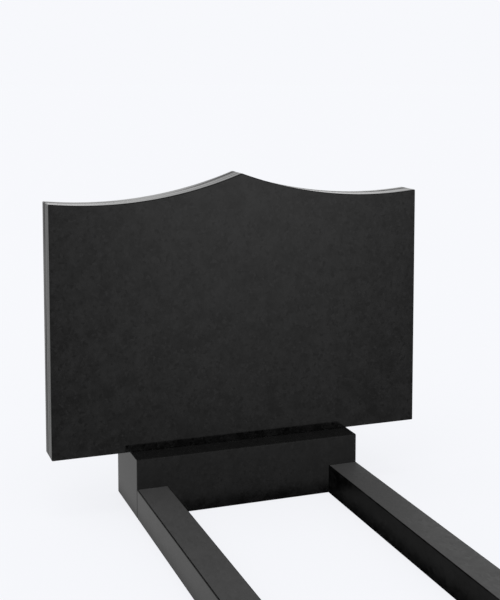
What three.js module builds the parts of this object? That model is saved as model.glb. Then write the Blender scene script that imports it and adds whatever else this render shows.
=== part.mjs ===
// Headstone of dark polished granite: a wide upright slab with a peaked, double-swept top,
// a stand block that carries it, and a kerb of three bars that frames the planting bed.
// Millimetres, +Z up. The inscription side faces -Y, and the origin is on the ground
// in the middle of the whole set.
import * as THREE from 'three';

// Slab
const slabWidth = 1000;
const slabThickness = 80;
const slabEndHeight = 640;
const peakRise = 60;
const sweepSag = 30;
const sweepSteps = 16;

// Stand block, with the slab in the middle of its top
const standWidth = 600;
const standDepth = 200;
const standHeight = 150;

// Kerb bars, flush with the ends of the stand
const kerbWidth = 80;
const kerbHeight = 75;
const kerbLength = 1000;

// Every edge is eased by a small flat arris, and stones that touch keep a thin bedding joint
const arris = 2.5;
const joint = 0.3;

// Finishes: the slab and the stand are polished, and the kerb is honed and looks greyer
const polished = { color: 0x242425, roughness: 0.25 };
const honed = { color: 0x3a3a3b, roughness: 0.45 };

// Places along Y, worked out from the depth of the whole set
const setDepth = kerbLength + joint + standDepth;
const standY = setDepth / 2 - standDepth / 2;
const kerbY = kerbLength / 2 - setDepth / 2;
const frontBarY = kerbWidth / 2 - setDepth / 2;
const kerbX = standWidth / 2 - kerbWidth / 2;

// Settings for an extrusion of the given overall thickness with an arris round both ends.
// The outline keeps its nominal size, and the arris is cut inwards from it.
function withArris(thickness) {
  return {
    depth: thickness - 2 * arris,
    bevelEnabled: true,
    bevelSegments: 1,
    bevelThickness: arris,
    bevelSize: arris,
    bevelOffset: -arris,
    curveSegments: sweepSteps,
  };
}

// Upright outline of the slab, seen from the front. Each half of the top is one hollow
// circular arc from the peak to the end, and sags by sweepSag below its chord.
function slabOutline() {
  const end = slabWidth / 2;
  const chord = Math.hypot(end, peakRise);
  const radius = (chord ** 2 / 4 + sweepSag ** 2) / (2 * sweepSag);
  const centreX = end / 2 + (radius - sweepSag) * peakRise / chord;
  const centreHeight = slabEndHeight + peakRise / 2 + (radius - sweepSag) * end / chord;
  const angleAt = (x) => -Math.acos((x - centreX) / radius);
  const endAngle = angleAt(end - arris);
  const peakAngle = angleAt(0);

  const outline = new THREE.Shape();
  outline.moveTo(arris - end, 0);
  outline.lineTo(end - arris, 0);
  outline.lineTo(end, arris);
  outline.lineTo(end, slabEndHeight - arris);
  outline.absarc(centreX, centreHeight, radius, endAngle, peakAngle, true);
  outline.absarc(-centreX, centreHeight, radius, -Math.PI - peakAngle, -Math.PI - endAngle, true);
  outline.lineTo(-end, slabEndHeight - arris);
  outline.lineTo(-end, arris);
  return outline;
}

// Slab geometry: the outline stood upright, its thickness centred on Y = 0.
function slabGeometry() {
  const geometry = new THREE.ExtrudeGeometry(slabOutline(), withArris(slabThickness));
  geometry.translate(0, 0, arris - slabThickness / 2);
  geometry.rotateX(Math.PI / 2);
  return geometry;
}

// Straight block geometry with an arris on all twelve edges, standing on Z = 0.
function blockGeometry(width, depth, height) {
  const x = width / 2;
  const y = depth / 2;
  const corners = [[1, 1], [-1, 1], [-1, -1], [1, -1]];
  const outline = new THREE.Shape(corners.flatMap(([sx, sy]) => {
    const onEnd = new THREE.Vector2(sx * x, sy * (y - arris));
    const onSide = new THREE.Vector2(sx * (x - arris), sy * y);
    return sx === sy ? [onEnd, onSide] : [onSide, onEnd];
  }));
  const geometry = new THREE.ExtrudeGeometry(outline, withArris(height));
  geometry.translate(0, 0, arris);
  return geometry;
}

// One stone of the set: its own mesh and material, placed by its position.
function stone(name, finish, geometry, x, y, z) {
  const material = new THREE.MeshStandardMaterial({ ...finish, name: `${name} granite`, metalness: 0 });
  const mesh = new THREE.Mesh(geometry, material);
  mesh.name = name;
  mesh.position.set(x, y, z);
  return mesh;
}

const headstone = new THREE.Group();
headstone.name = 'headstone';

headstone.add(stone('slab', polished, slabGeometry(), 0, standY, standHeight + joint));

const standBlock = blockGeometry(standWidth, standDepth, standHeight);
headstone.add(stone('stand', polished, standBlock, 0, standY, 0));

for (const [side, sign] of [['left', -1], ['right', 1]]) {
  const bar = blockGeometry(kerbWidth, kerbLength, kerbHeight);
  headstone.add(stone(`kerb_${side}`, honed, bar, sign * kerbX, kerbY, 0));
}

const frontBarLength = standWidth - 2 * kerbWidth - 2 * joint;
const frontBar = blockGeometry(frontBarLength, kerbWidth, kerbHeight);
headstone.add(stone('kerb_front', honed, frontBar, 0, frontBarY, 0));

export default headstone;
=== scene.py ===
"""Looks of a polished dark granite headstone on its stand, with the kerb round its bed.

Metres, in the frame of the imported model: +Z up, and the inscription side faces -Y.
"""

import math

import bpy
import numpy as np
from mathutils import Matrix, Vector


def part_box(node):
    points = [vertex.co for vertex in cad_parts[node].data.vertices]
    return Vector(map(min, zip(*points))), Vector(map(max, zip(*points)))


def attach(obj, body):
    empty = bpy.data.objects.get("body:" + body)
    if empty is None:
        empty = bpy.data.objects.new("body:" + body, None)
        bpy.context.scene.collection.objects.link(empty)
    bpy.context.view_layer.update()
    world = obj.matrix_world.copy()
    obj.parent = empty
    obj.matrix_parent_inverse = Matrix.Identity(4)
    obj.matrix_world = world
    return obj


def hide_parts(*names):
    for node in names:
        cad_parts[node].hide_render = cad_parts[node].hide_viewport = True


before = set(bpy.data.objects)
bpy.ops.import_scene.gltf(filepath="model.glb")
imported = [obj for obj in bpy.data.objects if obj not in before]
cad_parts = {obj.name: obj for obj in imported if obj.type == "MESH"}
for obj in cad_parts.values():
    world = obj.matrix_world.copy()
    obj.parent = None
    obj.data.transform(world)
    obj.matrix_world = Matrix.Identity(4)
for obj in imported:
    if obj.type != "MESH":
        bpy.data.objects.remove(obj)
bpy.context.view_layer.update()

# Shape of the slab's top
END_HEIGHT = 0.640
SWEEP_SAG = 0.030
SWEEP_STEPS = 96

# Worked edges
ARRIS = 0.0025
ARRIS_STEPS = 3
ARRIS_ANGLE = math.radians(30)

# Order of the finishes on every stone
POLISHED, CALM, HONED, GROUND, SAWN, EDGE, LIT_SATIN, SHADED_MATT = range(8)

# Grain of the granite. Counts are crystals, marks or waves to the metre, and strengths are
# shares of the way from the dark colour to the light one.
GRAIN_LEVEL = 0.5
CRYSTAL_COUNT = 1000.0
CRYSTAL_STRENGTH = 0.15
PALE_CRYSTALS = 0.94
LATH_COUNT = 300.0
LATH_STRENGTH = 0.1
LATH_STRETCH = 2.8
LATH_TURN = (0.6, 0.4, 0.9)
PALE_LATHS = 0.92
MARK_STRENGTH = 1.35
MARK_STRETCH = 2.2
MARK_SETS = (((0.5, 0.3, 0.8), 90.0), ((-0.7, 1.1, -0.5), 110.0))
MARK_FADE = (0.15, 0.55)
BEND_COUNT = 70.0
BEND_SIZE = 0.02
MOTTLING_COUNT = 20.0
MOTTLING_STRENGTH = 2.8
GRANITE_IOR = 1.5

# Dull track that the edge machine left along the slab's rim
TRACK_PLACE = 0.515
TRACK_WIDTH = 0.022
TRACK_WANDER = 0.035
TRACK_DULLNESS = 0.65

# Camera, solved from the photograph's straight edges
PICTURE_HEIGHT = 600
CAMERA_PLACE = (-1.0071, -2.3479, 1.1307)
CAMERA_TURN = 0.3511
CAMERA_TILT = 0.0866
CAMERA_FOCAL_PIXELS = 1167.3
CAMERA_SHIFT_PIXELS = 135
SENSOR = 36.0

# Studio
WHITE = (1.0, 1.0, 1.0, 1.0)
PALE = (0.930, 0.939, 0.973, 1.0)
FLOOR_RADIUS = 60.0
FLOOR_GLOW = 0.85
SKY_STRENGTH = 0.5
KEY_STRENGTH = 1.75
KEY_SPREAD = math.radians(70)
KEY_DIRECTION = (math.radians(14), math.radians(-18), 0.0)

# Painted pool of light: the floor glows with it only in the stone's mirror. It starts at the foot
# of the slab and widens along its axis, away from the inscription side
POOL_FOOT = (0.0, 0.46, 0.0)
POOL_ACROSS = (0.940, 0.342, 0.0)
POOL_OFFSET = 0.05
POOL_HALF_WIDTH = 0.5
POOL_WIDENING = 0.13
POOL_BRIGHTNESS = 0.38
POOL_GROWTH = 0.37
POOL_LIMIT = 0.8
SIDE_DIMMING = 0.35
SIDE_DIMMING_LIMIT = 1.4
# Painted shade on the mirrored bed close to the stones, and an even painted glow beside their left ends
BED_EDGE = (-0.34, -0.24)
BED_SHADE = 0.1
BED_SHADE_REACH = (0.02, 0.14)
SIDE_GLOW = 0.38
SIDE_REACH = (0.3, 0.5)
SIDE_FRONT = (0.1, 0.5)

# Brightness of the surround, as the stone mirrors it: in front of the set it falls by the drop
# between two heights, and behind the set it falls in two steps
FRONT_SKY = 0.68
FRONT_SKY_DROP = 0.58
FRONT_SKY_HEIGHTS = (0.1, 0.24)
BACK_SKY = 1.0
BACK_SKY_DROPS = ((0.1, (0.04, 0.15)), (0.42, (0.15, 0.5)))
BEHIND = (-0.2, 0.4)


class Wire:
    """One output of a shader node. Python operators on it add Math nodes."""

    def __init__(self, socket):
        self.socket = socket
        self.tree = socket.id_data

    def output(self, name):
        """Another output of the same node."""
        return Wire(self.socket.node.outputs[name])

    def math(self, operation, *terms):
        """A Math node of that operation on the terms."""
        sockets = dict(enumerate(terms))
        return add_node(self.tree, "ShaderNodeMath", {"operation": operation}, sockets)

    def __add__(self, other):
        return self.math("ADD", self, other)

    __radd__ = __add__

    def __sub__(self, other):
        return self.math("SUBTRACT", self, other)

    def __rsub__(self, other):
        return self.math("SUBTRACT", other, self)

    def __mul__(self, other):
        return self.math("MULTIPLY", self, other)

    __rmul__ = __mul__

    def __truediv__(self, other):
        return self.math("DIVIDE", self, other)

    def __pow__(self, other):
        return self.math("POWER", self, other)


def add_node(tree, kind, settings=None, sockets=None, output=0):
    """Adds one node: its settings first, then the values or links of its sockets.

    Returns one output as a Wire, if the node has any.
    """
    node = tree.nodes.new(kind)
    for name, value in (settings or {}).items():
        setattr(node, name, value)
    for name, value in (sockets or {}).items():
        if isinstance(value, Wire):
            tree.links.new(value.socket, node.inputs[name])
        else:
            node.inputs[name].default_value = value
    return Wire(node.outputs[output]) if node.outputs else None


def separated(place, axis):
    """One of the place's "X", "Y" or "Z"."""
    return add_node(place.tree, "ShaderNodeSeparateXYZ", {}, {"Vector": place}, output=axis)


def vector_math(operation, *terms, output=0):
    """A Vector Math node of that operation on the terms. The first term is a Wire."""
    sockets = dict(enumerate(terms))
    return add_node(terms[0].tree, "ShaderNodeVectorMath", {"operation": operation}, sockets, output)


def least(value, limit):
    """The value, but no more than the limit."""
    return value.math("MINIMUM", value, limit)


def step_between(value, low, high):
    """0 below low, 1 above high, and a smooth rise between them."""
    return add_node(
        value.tree,
        "ShaderNodeMapRange",
        {"interpolation_type": "SMOOTHSTEP"},
        {"Value": value, "From Min": low, "From Max": high},
    )


def mixed_colour(tree, factor, colour_a, colour_b):
    """colour_a where the factor is 0, colour_b where it is 1."""
    return add_node(
        tree,
        "ShaderNodeMix",
        {"data_type": "RGBA"},
        {"Factor": factor, 6: colour_a, 7: colour_b},
        output=2,
    )


def noise(place, scale, detail=2.0, roughness=0.5):
    """Noise of that many waves per metre, about 0.5 on average."""
    return add_node(
        place.tree,
        "ShaderNodeTexNoise",
        {},
        {"Vector": place, "Scale": scale, "Detail": detail, "Roughness": roughness},
    )


def turned(place, turn, stretch):
    """The place, turned and then squeezed along Y, so that a pattern on it is stretch times as long."""
    return add_node(
        place.tree,
        "ShaderNodeMapping",
        {},
        {"Vector": place, "Rotation": turn, "Scale": (1.0, 1.0 / stretch, 1.0)},
    )


def streaks(place, scale):
    """Noise drawn out along the slab, with that many waves per metre of its thickness."""
    sockets = {"Vector": place, "Scale": (2.5, scale, 2.5)}
    return noise(add_node(place.tree, "ShaderNodeMapping", {}, sockets), 1.0, detail=1.5)


def crystals(place, scale):
    """Packed crystals, that many per metre: the distance from the middle of each, in crystals."""
    sockets = {"Vector": place, "Scale": scale}
    return add_node(place.tree, "ShaderNodeTexVoronoi", {"feature": "F1"}, sockets)


def chance(cells):
    """One random number from 0 to 1 for each crystal."""
    return add_node(cells.tree, "ShaderNodeSeparateColor", {}, {"Color": cells.output("Color")})


def marks(place, scale):
    """Soft marks, pale above 0 and dark below, most of them faint and a few strong.

    Inside each crystal the strength is the cube of a random number from -1 to 1, and it fades
    from the middle of the crystal to its rim.
    """
    cells = crystals(place, scale)
    strength = 2.0 * chance(cells) - 1.0
    return strength * strength * strength * (1.0 - step_between(cells, *MARK_FADE))


def new_material(name):
    """An empty node material, as (material, tree, Object coordinates)."""
    material = bpy.data.materials.new(name)
    material.use_nodes = True
    tree = material.node_tree
    tree.nodes.clear()
    place = add_node(tree, "ShaderNodeTexCoord", output="Object")
    return material, tree, place


def granite(name, dark, light, gloss, relief, relief_depth, reflection=0.5, dullness=None):
    """Dark granite: fine crystals, pale specks and laths, soft marks and mottling of all sizes.

    dark and light are the colours of its minerals, gloss the roughness of the finish, relief a
    function of the place that gives the bump height, and reflection 0.5 where the surface is
    clean and less where it is dull. On the lit satin finish the lighter colours are painted light,
    and on the shaded matt finish the darker colours and low reflection are painted shade.
    dullness is a function of the place that adds roughness.
    The share of the light colour is GRAIN_LEVEL plus each sort of grain times its strength.
    """
    material, tree, place = new_material(name)
    fine = chance(crystals(place, CRYSTAL_COUNT))
    laths = chance(crystals(turned(place, LATH_TURN, LATH_STRETCH), LATH_COUNT))
    bend = noise(place, BEND_COUNT, detail=1.0).output("Color")
    bent = vector_math("MULTIPLY_ADD", bend, (BEND_SIZE, BEND_SIZE, BEND_SIZE), place)
    mottling = noise(place, MOTTLING_COUNT, detail=3.5, roughness=0.85)
    share = (
        GRAIN_LEVEL
        + CRYSTAL_STRENGTH * (fine - 0.5)
        + CRYSTAL_STRENGTH * step_between(fine, PALE_CRYSTALS, 1.0)
        + LATH_STRENGTH * step_between(laths, PALE_LATHS, 1.0)
        + MOTTLING_STRENGTH * (mottling - 0.5)
    )
    for turn, count in MARK_SETS:
        share = share + MARK_STRENGTH * marks(turned(bent, turn, MARK_STRETCH), count)
    share = add_node(tree, "ShaderNodeClamp", {}, {"Value": share})
    colour = mixed_colour(tree, share, dark, light)
    roughness = gloss * (0.85 + 0.3 * share)
    if dullness:
        roughness = roughness + dullness(place)
    normal = add_node(
        tree,
        "ShaderNodeBump",
        {},
        {"Strength": 1.0, "Distance": relief_depth, "Height": relief(place)},
    )
    surface = add_node(
        tree,
        "ShaderNodeBsdfPrincipled",
        {},
        {
            "Base Color": colour,
            "Roughness": roughness,
            "IOR": GRANITE_IOR,
            "Specular IOR Level": reflection,
            "Normal": normal,
        },
    )
    add_node(tree, "ShaderNodeOutputMaterial", {}, {"Surface": surface})
    return material


def polish_relief(place):
    """Polished face: a very slight long wave."""
    return noise(place, 7.0, detail=1.0)


def dull_track(place):
    """Roughness that the last pass of the edge machine left: a wavering track along the slab.

    It is strongest in the middle, and falls to nothing at half TRACK_WIDTH to either side. Its
    middle strays from TRACK_PLACE by up to half TRACK_WANDER, and fine streaks break it up.
    """
    off = separated(place, "Y") - TRACK_PLACE - TRACK_WANDER * (streaks(place, 8.0) - 0.5)
    inside = 1.0 - step_between(off.math("ABSOLUTE", off), 0.0, TRACK_WIDTH / 2)
    return TRACK_DULLNESS * inside * step_between(streaks(place, 60.0), 0.3, 0.6)


def edge_relief(place):
    """Edge of the slab, polished by a machine that runs along it: long low ridges."""
    return streaks(place, 70.0)


def honed_relief(place):
    """Honed face: fine grinding grain."""
    return noise(place, 900.0, detail=2.0)


def ground_relief(place):
    """Ground face: fine grain over faint strokes of the grinding head, drawn out along X."""
    drawn_out = {"Vector": place, "Scale": (4.0, 1.0, 90.0)}
    strokes = noise(add_node(place.tree, "ShaderNodeMapping", {}, drawn_out), 1.0, detail=3.0)
    return 0.7 * strokes + 0.3 * noise(place, 900.0)


def sawn_relief(place):
    """Sawn face: shallow saw ridges along X, a few millimetres apart, roughened by grain."""
    ridges = add_node(
        place.tree,
        "ShaderNodeTexWave",
        {"wave_type": "BANDS", "bands_direction": "Y"},
        {"Vector": place, "Scale": 55.0, "Distortion": 2.5, "Detail": 2.0, "Detail Scale": 3.0},
        output="Fac",
    )
    return 0.6 * ridges + 0.4 * noise(place, 500.0)


def grey(level, blue=1.0):
    """A grey of that brightness, neutral or a little bluer."""
    return (level, level, level * blue, 1.0)


def build_finishes():
    """All finishes of the one granite, in the order of their names."""
    return [
        granite("polished_granite", grey(0.0002), grey(0.0096), 0.1, polish_relief, 0.00002),
        granite("calm_granite", grey(0.0021), grey(0.0077), 0.1, polish_relief, 0.00002),
        granite("honed_granite", grey(0.0535), grey(0.0583, blue=1.005), 0.6, honed_relief, 0.00005),
        granite("ground_granite", grey(0.04), grey(0.074), 0.7, ground_relief, 0.0002),
        granite("sawn_granite", grey(0.04, blue=1.025), grey(0.124, blue=1.016), 0.8,
                sawn_relief, 0.0006),
        granite("edge_granite", grey(0.0002), grey(0.0096), 0.14, edge_relief, 0.0015,
                dullness=dull_track),
        # Lighter, evener copy of the polished granite on a satin finish, for the stand's top: painted
        # light that brightens the ledge in the slab's shade
        granite("lit_satin_granite", grey(0.0068), grey(0.0095), 0.25, polish_relief, 0.00002),
        # Darker copy of the polished granite with little reflection: painted shade on the kerbs' sides
        # towards the bed, standing in for the dark bed they mirror. The kerbs' arrises are darkened
        # with it too
        granite("shaded_matt_granite", grey(0.0003), grey(0.0067), 0.35, honed_relief, 0.00005,
                reflection=0.07),
    ]


def slab_outline(half_width, peak_height):
    """Outline of the slab seen from the front, anticlockwise from its lower left corner.

    Each half of the top is the arc of the circle through the peak and the end whose middle
    lies SWEEP_SAG under the chord: height = centre height - sqrt(radius^2 - (x - centre x)^2).
    """
    rise = peak_height - END_HEIGHT
    chord = math.hypot(half_width, rise)
    radius = (chord**2 / 4 + SWEEP_SAG**2) / (2 * SWEEP_SAG)
    centre_x = half_width / 2 + (radius - SWEEP_SAG) * rise / chord
    centre_z = (END_HEIGHT + peak_height) / 2 + (radius - SWEEP_SAG) * half_width / chord
    turn = np.arccos((np.array([half_width, 0.0]) - centre_x) / radius)
    angle = np.linspace(turn[0], turn[1], SWEEP_STEPS + 1)
    x = centre_x + radius * np.cos(angle)
    z = centre_z - radius * np.sin(angle)
    base = np.array([[-half_width, 0.0], [half_width, 0.0]])
    right = np.stack([x, z], axis=1)
    left = np.stack([-x, z], axis=1)[-2::-1]
    return np.concatenate([base, right, left])


def block_outline(low, high):
    """Upright rectangle between two corners, anticlockwise from its lower left corner."""
    return np.array([[low.x, low.z], [high.x, low.z], [high.x, high.z], [low.x, high.z]])


def worked_stone(name, outline, front, back, finishes, other_faces):
    """A stone whose upright outline (x, z) is carried straight along Y from front to back.

    Vertex i is the outline's point i at the front, and vertex i + n the same point at the
    back. The two ends are one face each, and four-sided faces join them. Every worked edge is
    then rounded by the arris. finishes are the materials in the order of their names above. The
    underside is sawn, and other_faces gives the finish of the "front", "back", "top", "left",
    "right", "arris" or "rim", which is all that lies between front and back. The rest is
    polished, and an arris is finished as the faces that it joins.
    """
    count = len(outline)
    x, z = outline.T
    ends = [np.stack([x, np.full(count, y), z], axis=1) for y in (front, back)]
    first = np.arange(count)
    second = (first + 1) % count
    sides = np.stack([second, first, first + count, second + count], axis=1)
    faces = [first.tolist(), (first[::-1] + count).tolist()] + sides.tolist()

    mesh = bpy.data.meshes.new(name)
    mesh.from_pydata(np.concatenate(ends).tolist(), [], faces)
    rim = np.full(count, other_faces.get("rim", POLISHED))
    side_finish = {"under": SAWN, **other_faces}
    edges = {"left": (x, x.min()), "right": (x, x.max()), "top": (z, z.max()), "under": (z, z.min())}
    for side, (across, edge) in edges.items():
        if side in side_finish:
            rim[(across[first] == edge) & (across[second] == edge)] = side_finish[side]
    finish = [other_faces.get("front", POLISHED), other_faces.get("back", POLISHED), *rim]
    mesh.polygons.foreach_set("material_index", np.array(finish, dtype=np.int32))
    mesh.polygons.foreach_set("use_smooth", np.ones(len(faces), dtype=bool))
    for material in finishes:
        mesh.materials.append(material)
    mesh.update()

    stone = bpy.data.objects.new(name, mesh)
    bpy.context.scene.collection.objects.link(stone)
    rounding = stone.modifiers.new("arris", "BEVEL")
    rounding.width = ARRIS
    rounding.segments = ARRIS_STEPS
    rounding.limit_method = "ANGLE"
    rounding.angle_limit = ARRIS_ANGLE
    rounding.material = other_faces.get("arris", -1)
    rounding.harden_normals = True
    return stone


def build_stones(finishes):
    """All five stones, each in the place of its solid."""
    other_faces = {
        "slab": {"back": GROUND, "rim": EDGE},
        # The stand's top gets the lit satin finish, painted light on the ledge
        "stand": {"front": CALM, "rim": CALM, "back": GROUND, "top": LIT_SATIN},
        # The kerbs' sides towards the bed, and their arrises, get the shaded matt finish, painted shade
        "kerb_left": {"top": HONED, "right": SHADED_MATT, "arris": SHADED_MATT},
        "kerb_right": {"top": HONED, "left": SHADED_MATT, "arris": SHADED_MATT},
        "kerb_front": {"top": HONED, "back": SHADED_MATT, "arris": SHADED_MATT},
    }
    for node, faces in other_faces.items():
        low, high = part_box(node)
        if node == "slab":
            outline = slab_outline((high.x - low.x) / 2, high.z - low.z) + [0.0, low.z]
        else:
            outline = block_outline(low, high)
        stone = worked_stone(f"{node}_stone", outline, low.y, high.y, finishes, faces)
        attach(stone, "root")
        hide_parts(node)
        stone.visible_glossy = not node.startswith("kerb")


def build_camera():
    """The photograph's viewpoint. The shift keeps upright edges nearly upright, as they are there."""
    camera = bpy.data.objects.new("camera", bpy.data.cameras.new("camera"))
    camera.data.sensor_width = SENSOR
    camera.data.lens = CAMERA_FOCAL_PIXELS / PICTURE_HEIGHT * SENSOR
    camera.data.shift_y = -CAMERA_SHIFT_PIXELS / PICTURE_HEIGHT
    camera.data.clip_end = 2 * FLOOR_RADIUS
    camera.location = CAMERA_PLACE
    camera.rotation_euler = (math.pi / 2 - CAMERA_TILT, 0.0, -CAMERA_TURN)
    bpy.context.scene.collection.objects.link(camera)
    bpy.context.scene.camera = camera


def pool_of_light(place):
    """Brightness of the floor as the stone mirrors it: a painted pool of light.

    POOL_BRIGHTNESS times the distance from the foot of the slab to the power POOL_GROWTH, up
    to POOL_LIMIT, and less towards the sides of the pool by the square of the way across it.
    Close to a stone the bed gets painted shade, and beside the left ends of the stones the floor has an
    even painted glow.
    """
    from_foot = vector_math("SUBTRACT", place, POOL_FOOT)
    distance = vector_math("LENGTH", from_foot, output="Value")
    across = vector_math("DOT_PRODUCT", from_foot, POOL_ACROSS, output="Value")
    aside = (across + POOL_OFFSET) / (POOL_HALF_WIDTH + POOL_WIDENING * distance)
    dimming = 1.0 - SIDE_DIMMING * least(aside * aside, SIDE_DIMMING_LIMIT)
    pool = least(POOL_BRIGHTNESS * distance**POOL_GROWTH, POOL_LIMIT)
    reach = add_node(place.tree, "ShaderNodeLightPath", output="Ray Length")
    in_bed = step_between(separated(place, "X"), *BED_EDGE)
    clear = step_between(reach, *BED_SHADE_REACH)
    bed = pool * dimming * (BED_SHADE + (1.0 - BED_SHADE) * clear)
    in_front = 1.0 - step_between(separated(place, "Y"), *SIDE_FRONT)
    side = (1.0 - in_bed) * (1.0 - step_between(reach, *SIDE_REACH) * in_front)
    return bed + side * (SIDE_GLOW - bed)


def build_floor():
    """A plain pale floor that mostly glows, so that shadows on it stay faint. In the stone's mirror it
    glows with a painted pool of light and painted shade instead.
    """
    angle = np.linspace(0.0, 2 * math.pi, 96, endpoint=False)
    rim = np.stack([np.cos(angle), np.sin(angle), 0 * angle], axis=1) * FLOOR_RADIUS
    mesh = bpy.data.meshes.new("floor")
    mesh.from_pydata(rim.tolist(), [], [list(range(len(rim)))])
    floor = bpy.data.objects.new("floor", mesh)
    bpy.context.scene.collection.objects.link(floor)

    material, tree, place = new_material("pale_floor")
    lit = add_node(tree, "ShaderNodeBsdfDiffuse", {}, {"Color": PALE})
    glowing = add_node(tree, "ShaderNodeEmission", {}, {"Color": PALE})
    seen = add_node(tree, "ShaderNodeMixShader", {}, {0: FLOOR_GLOW, 1: lit, 2: glowing})
    # The stone's mirror sees the painted pool of light and painted shade, not the plain floor
    pool = pool_of_light(place)
    mirrored = add_node(tree, "ShaderNodeEmission", {}, {"Color": WHITE, "Strength": pool})
    in_mirror = add_node(tree, "ShaderNodeLightPath", output="Is Glossy Ray")
    surface = add_node(tree, "ShaderNodeMixShader", {}, {0: in_mirror, 1: seen, 2: mirrored})
    add_node(tree, "ShaderNodeOutputMaterial", {}, {"Surface": surface})
    mesh.materials.append(material)


def build_light():
    """Soft light from all round, and one broad key light from the upper left."""
    world = bpy.data.worlds.new("studio")
    bpy.context.scene.world = world
    world.use_nodes = True
    tree = world.node_tree
    tree.nodes.clear()
    direction = add_node(tree, "ShaderNodeTexCoord")
    height = separated(direction, "Z")
    behind = step_between(separated(direction, "Y"), *BEHIND)
    front_sky = FRONT_SKY - FRONT_SKY_DROP * step_between(height, *FRONT_SKY_HEIGHTS)
    back_sky = BACK_SKY
    for drop, heights in BACK_SKY_DROPS:
        back_sky = back_sky - drop * step_between(height, *heights)
    glossy_sky = front_sky + behind * (back_sky - front_sky)
    fill = add_node(tree, "ShaderNodeBackground", {}, {"Color": WHITE, "Strength": SKY_STRENGTH})
    mirrored = add_node(tree, "ShaderNodeBackground", {}, {"Color": WHITE, "Strength": glossy_sky})
    seen = add_node(tree, "ShaderNodeBackground", {}, {"Color": PALE, "Strength": 1.0})
    in_mirror = add_node(tree, "ShaderNodeLightPath", output="Is Glossy Ray")
    in_camera = add_node(tree, "ShaderNodeLightPath", output="Is Camera Ray")
    surface = add_node(tree, "ShaderNodeMixShader", {}, {0: in_mirror, 1: fill, 2: mirrored})
    surface = add_node(tree, "ShaderNodeMixShader", {}, {0: in_camera, 1: surface, 2: seen})
    add_node(tree, "ShaderNodeOutputWorld", {}, {"Surface": surface})

    key = bpy.data.objects.new("key_light", bpy.data.lights.new("key_light", "SUN"))
    key.data.energy = KEY_STRENGTH
    key.data.angle = KEY_SPREAD
    key.rotation_euler = KEY_DIRECTION
    key.visible_glossy = False
    bpy.context.scene.collection.objects.link(key)


bpy.context.scene.view_settings.view_transform = "Standard"
build_camera()
build_floor()
build_light()
build_stones(build_finishes())
